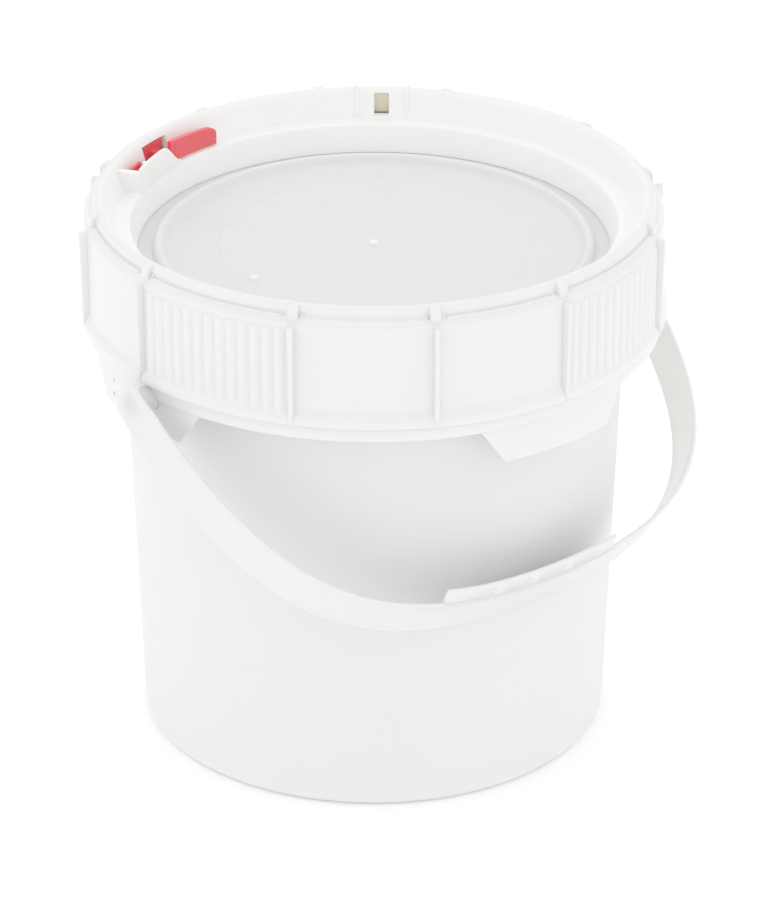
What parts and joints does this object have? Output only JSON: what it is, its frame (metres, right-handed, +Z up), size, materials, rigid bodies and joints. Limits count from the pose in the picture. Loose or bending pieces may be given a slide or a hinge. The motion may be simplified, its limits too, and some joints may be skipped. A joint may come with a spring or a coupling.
{
  "type": "screw-top plastic pail",
  "caption": "Round white plastic pail with a threaded lid ring over a flat disc, a child-resistant latch in the ring and a swinging strap bail handle.",
  "frame": {"origin": "centre of the pail's flat underside, on the pail's axis", "axes": "+Z up along the pail's axis, X along the bail handle's pivot axis, and the bail hangs towards -Y at rest"},
  "size_m": [0.3432, 0.3264, 0.3114],
  "materials": {
    "pail_plastic": "satin white moulded polyethylene",
    "ring_plastic": "smooth white moulded polyethylene",
    "disc_plastic": "satin off-white moulded polyethylene",
    "gasket_rubber": "soft grey seal",
    "latch_plastic": "coral red moulded plastic",
    "handle_plastic": "slightly translucent white moulded polyethylene"
  },
  "bodies": {
    "pail": {"pail_body": "pail_plastic"},
    "lid": {"lid_disc": "disc_plastic", "lid_gasket": "gasket_rubber"},
    "ring": {"screw_ring": "ring_plastic"},
    "latch": {"child_latch": "latch_plastic"},
    "bail": {"bail_handle": "handle_plastic"}
  },
  "joints": [
    {"name": "lid_lift", "type": "slide", "parent": "pail", "child": "lid", "axis": [0, 0, 1], "range_m": [0, 0.0481]},
    {"name": "ring_turn", "type": "hinge", "parent": "lid", "child": "ring", "pos_m": [0, 0, 0.28], "axis": [0, 0, 1], "range_deg": [0, 360]},
    {"name": "latch_release", "type": "hinge", "parent": "ring", "child": "latch", "pos_m": [-0.06093, 0.12493, 0.3], "axis": [0, 0, 1], "range_deg": [0, 3.25]},
    {"name": "bail_swing", "type": "hinge", "parent": "pail", "child": "bail", "pos_m": [0, 0, 0.2356], "axis": [-1, 0, 0], "range_deg": [0, 248]}
  ],
  "couplings": [
    {"joint": "lid_lift", "follows": "ring_turn", "m_per_rad": 0.0076394}
  ]
}
